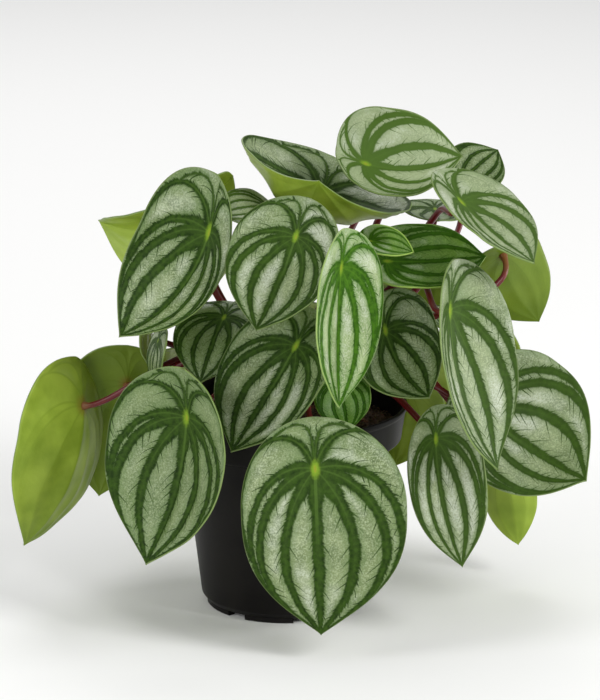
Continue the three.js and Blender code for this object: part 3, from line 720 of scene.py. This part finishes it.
def silver_tissue(f, v, beyond, grain, silver, middle):
    """The silver: grainy, greener at the seat, beside the bands and at the rim, with patches of painted sheen
    on it.
    """
    patches = f.noise(f.place(), PATCH_SCALE, 3.0, 0.6)
    tissue = f.mix(f.step(patches, 0.34, 0.66), silver[0], silver[1])
    tissue = f.mix(f.step(grain, 0.43, 0.66, 0.0, 0.6), tissue, silver[2])
    tissue = f.mix(f.step(v.reach, 0.34, 0.08, 0.0, 0.6), tissue, middle)
    tissue = f.mix(f.step(beyond, 0.05, 0.0, 0.0, 0.55), tissue, middle)
    tissue = f.mix(f.step(v.rim, 0.0035, 0.0008, 0.0, 0.4), tissue, middle)
    # The tone deepens or pales the silver; where the tone is chosen, this is painted shade or painted light.
    tissue = f.mix(f.step(v.tone, 0.5, 1.0, 0.0, 0.45), tissue, middle)
    tissue = f.mix(f.step(v.tone, 0.5, 0.0, 0.0, 0.45), tissue, silver[2])
    # Pale patches of painted sheen stand in for the highlights on the silver, strongest on the palest blades.
    strength = f.step(v.tone, 0.35, 0.8, 0.6, 0.1)
    painted_sheen_mask = f.step(f.noise(f.place(), PAINTED_SHEEN_SCALE, 3.0, 0.6), 0.48, 0.66, 0.0, strength)
    painted_sheen_mask = f.times(painted_sheen_mask, f.step(grain, 0.30, 0.62, 0.35, 1.0))
    return f.mix(f.times(painted_sheen_mask, f.step(beyond, 0.0, 0.04)), tissue, PAINTED_SHEEN)


def band_green(f, v, beyond, deep, middle):
    """The green of the bands: mottled, and lighter along the vein itself."""
    mottle = f.noise(f.place(), MOTTLE_SCALE, 3.0, 0.6)
    green = f.mix(f.step(mottle, 0.35, 0.65), deep[0], deep[1])
    # Pale tones lighten the bands too, painted light where the tone is chosen.
    green = f.mix(f.step(v.tone, 0.5, 0.0, 0.0, 0.8), green, middle)
    green = f.mix(f.step(beyond, -0.006, -0.032, 0.0, 0.2), green, middle)
    width = f.step(v.number, 0.0, 1.0, 0.010, 0.005)
    strength = f.step(v.number, 0.0, 1.0, 0.6, 0.35)
    line = f.step(f.minus(v.away, width), 0.003, -0.003)
    return f.mix(f.times(line, f.step(v.reach, 0.55, 0.1, 0.0, strength)), green, middle)


def upper_finish(name, silver, deep, middle):
    """The upper side of a blade, from three silvers, the bands' two deep greens and their middle line."""
    f = Finish(name)
    v = Veins(f)
    band, beyond = frayed_band(f, v)
    dark = f.math("MAXIMUM", band, f.math("MAXIMUM", veinlets(f, v, beyond), rungs(f, v)))
    grain = f.noise(f.place(), GRAIN_SCALE, 3.0, 0.75)
    tissue = silver_tissue(f, v, beyond, grain, silver, middle)
    paint = f.mix(dark, tissue, band_green(f, v, beyond, deep, middle))
    spot = f.scaled(f.noise(f.place(), 900.0), 0.016, v.spot)
    paint = f.mix(f.step(spot, 0.046, 0.018, 0.0, 0.85), paint, LIME_SPOT)
    paint = f.mix(f.step(spot, 0.021, 0.013, 0.0, 0.5), paint, TAN_SPOT)
    paint = f.mix(f.step(v.rim, 0.0005, 0.0002, 0.0, 0.5), paint, silver[1])
    f.surface(base_color=paint, roughness=f.blend(dark, 0.30, 0.5),
              specular_ior_level=f.blend(dark, 0.55, 0.08))
    f.bump(f.times(grain, f.blend(dark, 1.0, 0.25)), 0.0004, 0.6)
    return f.material


# %% Define the underside and the edge
SHADED_LIME = colour(84, 108, 20)
RED_FLUSH = colour(120, 70, 30)


def under_finish(name, light, shade):
    """The smooth lime underside, with faint veins and a red flush where the petiole joins."""
    f = Finish(name, roughness=0.4)
    v = Veins(f)
    vein = f.times(f.step(v.away, 0.012, 0.002), f.step(v.reach, 0.8, 0.1, 0.1, 0.5))
    paint = f.mix(f.step(f.noise(f.place(), 45.0, 3.0), 0.3, 0.7), light, shade)
    paint = f.mix(vein, paint, shade)
    # Deep-toned blades get a darker lime underneath, painted shade where the tone is chosen.
    paint = f.mix(f.step(v.tone, 0.6, 1.0, 0.0, 0.8), paint, SHADED_LIME)
    paint = f.mix(f.step(v.reach, 0.09, 0.02, 0.0, 0.5), paint, RED_FLUSH)
    f.surface(base_color=paint, specular_ior_level=0.3)
    f.bump(f.math("ADD", f.times(vein, 0.8), f.noise(f.place(), 500.0)), 0.0003, 0.3)
    return f.material


def edge_finish(name, pale, tinged):
    """The pale line that runs round the blade."""
    f = Finish(name, roughness=0.45)
    f.surface(base_color=f.mix(f.noise(f.place(), 150.0), pale, tinged))
    return f.material


# %% [markdown]
# ## The leaves: made and placed
# Three kinds of blade come from one recipe with their own colours: the mature ones are silver over a deep
# green, one narrow blade is paler, and three small or shaded ones are a fresher green. Within a kind a
# blade's tone, from 0 for the palest to 1 for the deepest, is chosen where the photo shows it and drawn
# elsewhere. A chosen tone also paints light and shade: pale tones for the blades lit from above and the
# right, deep tones for shaded blades such as left_inner and right_back_high.

# %% Mix the colours of the three kinds
def leaf_kind(name, silver, deep, middle, under, edge):
    """The finishes of one kind of blade, for its upper side, its underside and its edge."""
    lists = (silver, deep, [middle], under, edge)
    silver, deep, [middle], under, edge = ([colour(*shade) for shade in shades] for shades in lists)
    upper = upper_finish(f"{name}_upper", silver, deep, middle)
    return upper, under_finish(f"{name}_under", *under), edge_finish(f"{name}_edge", *edge)


MATURE = leaf_kind(
    "leaf",
    silver=((76, 97, 44), (115, 131, 83), (181, 195, 154)),
    deep=((26, 46, 8), (44, 69, 16)),
    middle=(78, 106, 42),
    under=((148, 170, 58), (116, 140, 36)),
    edge=((132, 152, 86), (88, 116, 46)),
)
PALE = leaf_kind(
    "pale",
    silver=((104, 132, 66), (152, 172, 116), (206, 214, 184)),
    deep=((30, 66, 6), (58, 100, 20)),
    middle=(84, 128, 32),
    under=((146, 176, 56), (112, 146, 36)),
    edge=((160, 184, 108), (116, 150, 60)),
)
FRESH = leaf_kind(
    "fresh",
    silver=((66, 108, 22), (96, 138, 42), (142, 170, 90)),
    deep=((30, 62, 6), (46, 86, 14)),
    middle=(80, 124, 28),
    under=((140, 172, 46), (108, 142, 30)),
    edge=((158, 186, 90), (124, 158, 56)),
)
print("Finishes for the blades:", len(MATURE + PALE + FRESH))

# %% Make and place the leaves
KINDS = {"centre_narrow": PALE, "young": FRESH, "right_mid": FRESH, "front_small": FRESH}
# Chosen tones paint light and shade: the low ones light the blades that face up and to the right, the high
# ones shade blades such as left_inner and right_back_high.
TONES_AND_PAINTED_LIGHT = {
    "top": 0.0, "right_high": 0.2, "right_narrow": 0.3, "right_low": 0.3, "right_wide": 0.3, "young": 0.3,
    "centre_high": 0.4, "centre_narrow": 0.4, "top_boat": 0.4, "front_big": 0.45, "centre_low": 0.5,
    "far_left": 0.5, "left_high": 0.58, "right_mid": 0.35, "right_inner": 0.7, "front_left": 0.8,
    "right_back_high": 0.9, "left_inner": 1.0,
}

for seed, (name, leaf) in enumerate(LEAVES.items()):
    mesh = blade_mesh(f"blade_{name}", leaf, seed, TONES_AND_PAINTED_LIGHT.get(name))
    blade = finished(f"blade_{name}", mesh, f"leaf_{name}", KINDS.get(name, MATURE))
    shell = blade.modifiers.new("thickness", "SOLIDIFY")
    shell.thickness = BLADE_THICKNESS
    shell.offset = 0.0
    shell.material_offset = 1
    shell.material_offset_rim = 2

# %% [markdown]
# ## The petioles
# Each blade hangs on a round red stalk that leaves the crown, clears the pot's rim and meets the underside of
# its blade square on. Its route is the one that the solid follows. A ring of twelve edges is extruded from
# station to station along it, a little thinner each time, and spreads at the top like a trumpet.

# %% Work out the routes
BLADE_IN_FRAME = 0.0009
JOINT_GAP = 0.0003
STALK_IN_FRAME = 0.0017
SOIL_LEVEL = 0.089
POT_HEIGHT = 0.102
CROWN_RADIUS = 0.010
CROWN_RISE = 0.009
STUB = 0.006
RIM_CLEARANCE = 0.03
KNEE_OUT = 0.25
KNEE_RISE = 0.4
APPROACH = 0.3
ROUTE_STEPS = 30
VIA_STEPS = 10
PETIOLE_SINK = 0.0003


def centripetal(points, steps):
    """A smooth route through points, with knots spaced by the square root of their distances."""
    first = 2 * points[0] - points[1]
    last = 2 * points[-1] - points[-2]
    chain = [first, *points, last]
    route = [points[0]]
    for a, b, c, d in zip(chain, chain[1:], chain[2:], chain[3:]):
        knots = [0.0]
        for start, stop in ((a, b), (b, c), (c, d)):
            knots.append(knots[-1] + math.sqrt((stop - start).length))
        for step in range(1, steps + 1):
            t = knots[1] + (knots[2] - knots[1]) * step / steps
            ab = a.lerp(b, (t - knots[0]) / (knots[1] - knots[0]))
            bc = b.lerp(c, (t - knots[1]) / (knots[2] - knots[1]))
            cd = c.lerp(d, (t - knots[2]) / (knots[3] - knots[2]))
            abc = ab.lerp(bc, (t - knots[0]) / (knots[2] - knots[0]))
            bcd = bc.lerp(cd, (t - knots[1]) / (knots[3] - knots[1]))
            route.append(abc.lerp(bcd, (t - knots[1]) / (knots[2] - knots[1])))
    return route


def petiole_route(leaf):
    """Points from the crown to the seat, through the leaf's own via points or over one knee."""
    seat = Vector(leaf["seat"])
    base = np.array([leaf.get("lobe", MOST_LOBE)])
    normal = Vector(blade_normals(leaf, base, np.array([0.0]))[0])
    bent_back = math.radians(max(0, -leaf.get("fold", 0)))
    end = seat - normal * (BLADE_IN_FRAME / 2 + JOINT_GAP + STALK_IN_FRAME * math.tan(bent_back))
    out = Vector((end.x, end.y, 0))
    start = out.normalized() * CROWN_RADIUS / 2 + Vector((0, 0, SOIL_LEVEL + CROWN_RISE / 2))
    if "via" in leaf:
        route = centripetal([start, *map(Vector, leaf["via"]), end - normal * STUB, end], VIA_STEPS)
    else:
        span = (end - start).length
        over_rim = max(0, POT_HEIGHT + RIM_CLEARANCE - end.z)
        knee = start + out * KNEE_OUT
        knee.z += leaf.get("rise", KNEE_RISE * span + 1.1 * over_rim)
        route = interpolate_bezier(start, knee, end - normal * APPROACH * span, end, ROUTE_STEPS)
    return [*route, seat - normal * PETIOLE_SINK]


# %% Define the sweep
STALK_FOOT = 0.0021
STALK_TOP = 0.00145
TRUMPET = 0.0008
TRUMPET_LENGTH = 0.003
STALK_SIDES = 12


def sweep(bm, route, radius_at):
    """Extrudes a ring along a route, and leaves both its ends open."""
    lengths = [0.0]
    for a, b in zip(route, route[1:]):
        lengths.append(lengths[-1] + (b - a).length)
    heading = (route[1] - route[0]).normalized()
    turn = heading.to_track_quat("Z", "Y")
    ring = bmesh.ops.create_circle(bm, segments=STALK_SIDES, radius=1.0)["verts"]
    flat = [vert.co.copy() for vert in ring]
    edges = list({edge for vert in ring for edge in vert.link_edges})
    for i, point in enumerate(route):
        after = route[min(i + 1, len(route) - 1)]
        before = route[max(i - 1, 0)]
        new_heading = (after - before).normalized()
        turn = heading.rotation_difference(new_heading) @ turn
        heading = new_heading
        if i:
            grown = bmesh.ops.extrude_edge_only(bm, edges=edges)["geom"]
            ring = picked(grown, bmesh.types.BMVert)
            edges = [edge for edge in picked(grown, bmesh.types.BMEdge) if set(edge.verts) <= set(ring)]
            flat = [unplaced @ vert.co for vert in ring]
        radius = radius_at(lengths[i] / lengths[-1], lengths[-1] - lengths[i])
        placed = Matrix.Translation(point) @ turn.to_matrix().to_4x4() @ Matrix.Scale(radius, 4)
        unplaced = placed.inverted()
        for vert, place in zip(ring, flat):
            vert.co = placed @ place


def stalk_radius(share, to_end):
    """The stalk's radius at a share of its length, wider over its last stretch."""
    taper = STALK_FOOT + (STALK_TOP - STALK_FOOT) * share
    return taper + TRUMPET * max(0, 1 - to_end / TRUMPET_LENGTH) ** 2


# %% Grow the petioles
bm = bmesh.new()
rise = bm.verts.layers.float.new("rise")
for leaf in LEAVES.values():
    old = set(bm.verts)
    route = petiole_route(leaf)
    sweep(bm, route, stalk_radius)
    whole = (route[-1] - route[0]).length
    for vert in bm.verts:
        if vert not in old:
            vert[rise] = min(1, (vert.co - route[0]).length / whole)
bmesh.ops.holes_fill(bm, edges=open_edges(bm), sides=0)
bmesh.ops.recalc_face_normals(bm, faces=bm.faces)
petiole_mesh = mesh_from(bm, "petioles", lambda face: len(face.verts) == 4)
print("Petioles:", len(LEAVES), "faces:", len(petiole_mesh.polygons))

# %% Finish the petioles
stalk = Finish("petiole", roughness=0.32)
climb = stalk.node("ShaderNodeAttribute", attribute_name="rise").outputs["Fac"]
streak = stalk.noise(stalk.place(), 220.0, 3.0, 0.65)
red = stalk.mix(streak, colour(58, 8, 12), colour(112, 18, 24))
red = stalk.mix(stalk.step(climb, 0.95, 1.0, 0.0, 0.35), red, colour(150, 120, 60))
stalk.surface(base_color=red, specular_ior_level=0.35)
stalk.bump(streak, 0.0003, 0.25)
finished("petioles", petiole_mesh, "crown", [stalk.material])
print("Nodes in the petioles' finish:", len(stalk.nodes))

# %% [markdown]
# ## The crown
# The stalks spring from a short knobbly stem that stands a little out of the soil. Noise pushes the points of
# an icosphere in and out, for the scars of old stalks, and the ball is then flattened into a mound.

# %% Make the crown
CROWN_SINK = 0.001
KNOB, KNOB_SCALE = 0.22, 2.6
SCAR, SCAR_SCALE = 0.1, 7.0

bm = bmesh.new()
bmesh.ops.create_icosphere(bm, subdivisions=4, radius=1.0)
for vert in bm.verts:
    vert.co *= 1 + KNOB * noise.noise(vert.co * KNOB_SCALE) + SCAR * noise.noise(vert.co * SCAR_SCALE)
bmesh.ops.scale(bm, vec=(CROWN_RADIUS, CROWN_RADIUS, CROWN_RISE), verts=bm.verts)
bmesh.ops.translate(bm, vec=(0, 0, SOIL_LEVEL - CROWN_SINK), verts=bm.verts)
stump_mesh = mesh_from(bm, "stump", lambda face: True)
stem = Finish("stump", roughness=0.7)
mottle = stem.noise(stem.place(), 400.0, 4.0, 0.7)
stem.surface(base_color=stem.mix(mottle, colour(62, 30, 24), colour(120, 84, 50)))
stem.bump(mottle, 0.0008, 0.6)
finished("stump", stump_mesh, finishes=[stem.material])
print("Crown height above the soil:", round(CROWN_RISE - CROWN_SINK, 4))

# %% [markdown]
# ## The soil
# Potting soil is dark peat with crumbs and bark chips. The filling itself is a disc of rings with noise for
# its surface and a skirt that runs down inside the pot. Crumbs of few faces are scattered on it by a seeded
# draw, and each is sunk nearly half way.

# %% Define the soil's surface
SOIL_EDGE = 0.0550
SOIL_FOOT = 0.0385
SOIL_FLOOR = 0.0048
SOIL_WAIST = 0.0495
LEDGE = 0.0848
LEDGE_SLOPE = 0.0015
SOIL_CROWNING = 0.0005
SOIL_ROUGHNESS = 0.0016
LUMP, LUMP_SCALE = 0.0011, 260
PEBBLE, PEBBLE_SCALE = 0.0007, 620


def soil_height(x, y):
    """The solid's waves, with finer lumps over them."""
    mx, my = x * 1000, y * 1000
    coarse = math.sin(0.19 * mx + 1.3) * math.cos(0.17 * my - 0.4)
    finer = math.sin(0.43 * mx - 0.36 * my) + math.cos(0.31 * mx + 0.47 * my + 2)
    wave = SOIL_ROUGHNESS * (0.6 * coarse + 0.25 * finer)
    lumps = LUMP * noise.noise(Vector((x, y, 0)) * LUMP_SCALE)
    pebbles = PEBBLE * noise.noise(Vector((x, y, 1)) * PEBBLE_SCALE)
    return SOIL_LEVEL + SOIL_CROWNING + wave + lumps + pebbles


# %% Fill the pot
SOIL_RINGS = 56
SOIL_SEGMENTS = 180

bm = bmesh.new()
foot = bmesh.ops.create_circle(bm, cap_ends=True, segments=SOIL_SEGMENTS, radius=SOIL_FOOT)["verts"]
bmesh.ops.translate(bm, vec=(0, 0, SOIL_FLOOR), verts=foot)
edges = open_edges(bm)


def grow_ring(edges, factor, height_at):
    """Extrudes a ring of edges and scales the new one about the pot's axis."""
    grown = bmesh.ops.extrude_edge_only(bm, edges=edges)["geom"]
    verts = picked(grown, bmesh.types.BMVert)
    bmesh.ops.scale(bm, vec=(factor, factor, 1), verts=verts)
    for vert in verts:
        vert.co.z = height_at(vert.co.x, vert.co.y)
    return [edge for edge in picked(grown, bmesh.types.BMEdge) if set(edge.verts) <= set(verts)]


for outer, inner, level in ((SOIL_WAIST, SOIL_FOOT, LEDGE), (SOIL_EDGE, SOIL_WAIST, LEDGE + LEDGE_SLOPE)):
    edges = grow_ring(edges, outer / inner, lambda x, y: level)
for ring in range(SOIL_RINGS):
    left = SOIL_RINGS - ring
    factor = 1.0 if ring == 0 else (left - 0.5) / (left + 0.5)
    edges = grow_ring(edges, factor, soil_height)
bmesh.ops.holes_fill(bm, edges=open_edges(bm), sides=0)
bmesh.ops.recalc_face_normals(bm, faces=bm.faces)
soil_mesh = mesh_from(bm, "soil_filling")
print("Soil faces:", len(soil_mesh.polygons))

# %% Finish the soil
earth = Finish("soil", roughness=0.92)
clods = earth.noise(earth.place(), 330.0, 5.0, 0.7)
dirt = earth.mix(earth.step(clods, 0.35, 0.65), colour(50, 37, 27), colour(104, 80, 60))
earth.surface(base_color=dirt)
earth.bump(clods, 0.002, 1.0)
finished("soil_filling", soil_mesh, "soil", [earth.material])
print("Nodes in the soil's finish:", len(earth.nodes))


# %% Scatter the crumbs
CRUMBS = 1500
CHIPS = 90
SCATTER_RADIUS = SOIL_EDGE - 0.001
UNEVENNESS = 0.28
SHOWING = 0.2


def scatter(name, count, sizes, flatness, seed, finish):
    """Crumbs of one kind, joined in one piece."""
    draw = random.Random(seed)
    bm = bmesh.new()
    for _ in range(count):
        radius = SCATTER_RADIUS * math.sqrt(draw.random())
        angle = draw.uniform(0, 2 * math.pi)
        x, y = radius * math.cos(angle), radius * math.sin(angle)
        size = draw.uniform(*sizes) * draw.uniform(0.6, 1.0)
        crumb = bmesh.ops.create_icosphere(bm, subdivisions=1, radius=size)["verts"]
        for vert in crumb:
            vert.co *= 1 + draw.uniform(-UNEVENNESS, UNEVENNESS)
        bmesh.ops.scale(bm, vec=(1.0, draw.uniform(0.5, 1.0), flatness), verts=crumb)
        tilt = Matrix.Rotation(draw.uniform(-0.6, 0.6), 3, "X") @ Matrix.Rotation(angle * 7, 3, "Z")
        bmesh.ops.rotate(bm, matrix=tilt, verts=crumb)
        z = soil_height(x, y) + SHOWING * size * flatness
        bmesh.ops.translate(bm, vec=(x, y, z), verts=crumb)
    finished(name, mesh_from(bm, name), finishes=[finish])


chip = Finish("bark", roughness=0.85)
fibres = chip.noise(chip.place(), 500.0, 4.0, 0.6)
chip.surface(base_color=chip.mix(fibres, colour(70, 38, 26), colour(140, 92, 64)))
chip.bump(fibres, 0.0006, 0.6)
scatter("soil_crumbs", CRUMBS, (0.0006, 0.0017), 0.8, 5, earth.material)
scatter("bark_chips", CHIPS, (0.0015, 0.0032), 0.35, 9, chip.material)
print("Crumbs and chips:", CRUMBS, CHIPS)

# %% [markdown]
# ## The pot
# The pot is moulded from thin black plastic: a tapering wall, a flared collar with a rolled bead, and a
# recessed base. Half of its section is bevelled at its corners and spun about the axis, in many steps where
# the solid has few. It stands on a flat pad and on a ring of seven feet, which are sections spun part of the
# way round, and seven drain holes are cut through the base with a Boolean.

# %% Spin the pot
RIM_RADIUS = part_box("pot")[1][0]
SPIN_STEPS = 144
POT_CORNER = 0.0006
CREASE = 0.6
POT_OUTSIDE = (
    (0.0, 0.0025), (0.0395, 0.0025), (0.0420, 0.0055), (0.0515, 0.0832), (0.0562, 0.0840),
    (0.0570, 0.0848), (0.0590, 0.0988), (RIM_RADIUS - 0.0002, 0.0996), (RIM_RADIUS, 0.1012), (0.0594, 0.1020),
)
POT_INSIDE = (
    (0.0580, 0.1020), (0.0573, 0.0990), (0.0557, 0.0856), (0.0502, 0.0844), (0.0407, 0.0068),
    (0.0382, 0.0043), (0.0, 0.0043),
)


def spun(bm, profile, start=0.0, angle=2 * math.pi, steps=SPIN_STEPS, corner=0.0):
    """Spins a section about the vertical axis, full round or part of the way, and closes what is open."""
    verts = [bm.verts.new((r * math.cos(start), r * math.sin(start), z)) for r, z in profile]
    edges = [bm.edges.new(pair) for pair in zip(verts, verts[1:])]
    if corner:
        inner = [vert for vert in verts if len(vert.link_edges) == 2]
        bmesh.ops.bevel(bm, geom=inner, offset=corner, segments=3, profile=0.5, affect="VERTICES",
                        material=-1)
        verts, edges = bm.verts[:], bm.edges[:]
    bmesh.ops.spin(bm, geom=verts + edges, cent=(0, 0, 0), axis=(0, 0, 1), angle=angle, steps=steps,
                   use_merge=angle >= 2 * math.pi)
    bmesh.ops.remove_doubles(bm, verts=bm.verts, dist=1e-6)
    bmesh.ops.holes_fill(bm, edges=open_edges(bm), sides=0)
    bmesh.ops.recalc_face_normals(bm, faces=bm.faces)


def creased(bm, name):
    """A mesh that is smooth except where its faces meet at more than the crease angle."""
    for edge in bm.edges:
        edge.smooth = edge.calc_face_angle(0.0) < CREASE
    return mesh_from(bm, name, lambda face: True)


bm = bmesh.new()
spun(bm, POT_OUTSIDE + POT_INSIDE, corner=POT_CORNER)
wall_mesh = creased(bm, "pot_wall")
print("Pot wall faces before the holes:", len(wall_mesh.polygons))

# %% Stand the pot on its feet
FOOT_COUNT = 7
FOOT_GAP = math.radians(15)
FOOT_INNER, FOOT_OUTER = 0.0350, 0.0395
FOOT_HEIGHT = 0.0030
FOOT_BEVEL = 0.0005
PAD_RADIUS = 0.0150

bm = bmesh.new()
foot_angle = 2 * math.pi / FOOT_COUNT - FOOT_GAP
foot = ((FOOT_INNER, FOOT_HEIGHT), (FOOT_INNER, FOOT_BEVEL), (FOOT_INNER + FOOT_BEVEL, 0.0),
        (FOOT_OUTER - FOOT_BEVEL, 0.0), (FOOT_OUTER, FOOT_BEVEL), (FOOT_OUTER, FOOT_HEIGHT),
        (FOOT_INNER, FOOT_HEIGHT))
for count in range(FOOT_COUNT):
    spun(bm, foot, start=2 * math.pi * count / FOOT_COUNT - foot_angle / 2, angle=foot_angle, steps=14)
pad = ((0.0, 0.0), (PAD_RADIUS - FOOT_BEVEL, 0.0), (PAD_RADIUS, FOOT_BEVEL), (PAD_RADIUS, FOOT_HEIGHT),
       (0.0, FOOT_HEIGHT))
spun(bm, pad, steps=48)
feet_mesh = creased(bm, "pot_feet")
print("Feet faces:", len(feet_mesh.polygons))

# %% Finish and place the pot
plastic = Finish("pot_plastic", roughness=0.48)
scuffs = plastic.noise(plastic.place(), 900.0, 3.0, 0.6)
dust = plastic.noise(plastic.place(), 45.0, 4.0, 0.6)
black = plastic.mix(plastic.step(dust, 0.35, 0.7), colour(12, 10, 9), colour(20, 18, 16))
plastic.surface(base_color=black, specular_ior_level=0.12)
plastic.bump(scuffs, 0.00012, 0.3)
pot = finished("pot_wall", wall_mesh, "pot", [plastic.material])
finished("pot_feet", feet_mesh, finishes=[plastic.material])
print("Radius of the rim:", round(RIM_RADIUS, 4))

# %% Cut the drain holes
DRAIN_COUNT = 7
DRAIN_RADIUS = 0.0040
DRAIN_CIRCLE = 0.0260
DRILL_LENGTH = 0.01
DRILL_MIDDLE = 0.0034

bm = bmesh.new()
for count in range(DRAIN_COUNT):
    angle = 2 * math.pi * count / DRAIN_COUNT
    drill = bmesh.ops.create_cone(bm, cap_ends=True, segments=32, radius1=DRAIN_RADIUS, radius2=DRAIN_RADIUS,
                                  depth=DRILL_LENGTH)["verts"]
    place = (DRAIN_CIRCLE * math.cos(angle), DRAIN_CIRCLE * math.sin(angle), DRILL_MIDDLE)
    bmesh.ops.translate(bm, vec=place, verts=drill)
drills = bpy.data.objects.new("drills", creased(bm, "drills"))
scene.collection.objects.link(drills)
cut = pot.modifiers.new("drain holes", "BOOLEAN")
cut.operation = "DIFFERENCE"
cut.object = drills
bored = bpy.data.meshes.new_from_object(pot.evaluated_get(bpy.context.evaluated_depsgraph_get()))
pot.modifiers.clear()
pot.data = bored
bpy.data.objects.remove(drills)
print("Pot wall faces with the holes:", len(bored.polygons))
